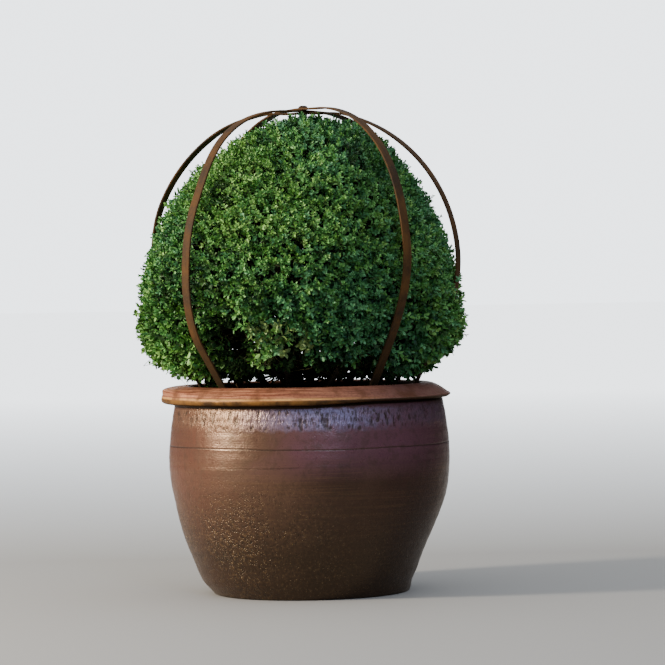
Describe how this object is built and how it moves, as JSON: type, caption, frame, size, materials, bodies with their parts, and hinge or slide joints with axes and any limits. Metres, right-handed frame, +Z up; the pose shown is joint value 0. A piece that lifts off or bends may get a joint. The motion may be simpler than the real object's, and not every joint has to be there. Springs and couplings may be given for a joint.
{
  "type": "box topiary ball in a pot",
  "caption": "Clipped evergreen shrub ball on several stems, in a round glazed pot of soil, inside a cage of flat steel hoops.",
  "frame": {"origin": "centre of the pot's flat underside", "axes": "+Z up along the pot's axis, -Y towards the front that the picture shows, +X to its right"},
  "size_m": [0.8344, 0.7631, 1.2623],
  "materials": {
    "glaze": "satin",
    "soil": "matte",
    "bark": "matte",
    "leaves": "satin",
    "rusty_steel": "matte"
  },
  "bodies": {
    "root": {"pot": "glaze", "soil": "soil", "stem_1": "bark", "stem_2": "bark", "stem_3": "bark", "stem_4": "bark", "stem_5": "bark", "stem_6": "bark", "stem_7": "bark", "crown": "leaves", "hoop_side": "rusty_steel", "hoop_front_left": "rusty_steel", "hoop_front_right": "rusty_steel", "hub_bolt": "rusty_steel"}
  },
  "joints": []
}
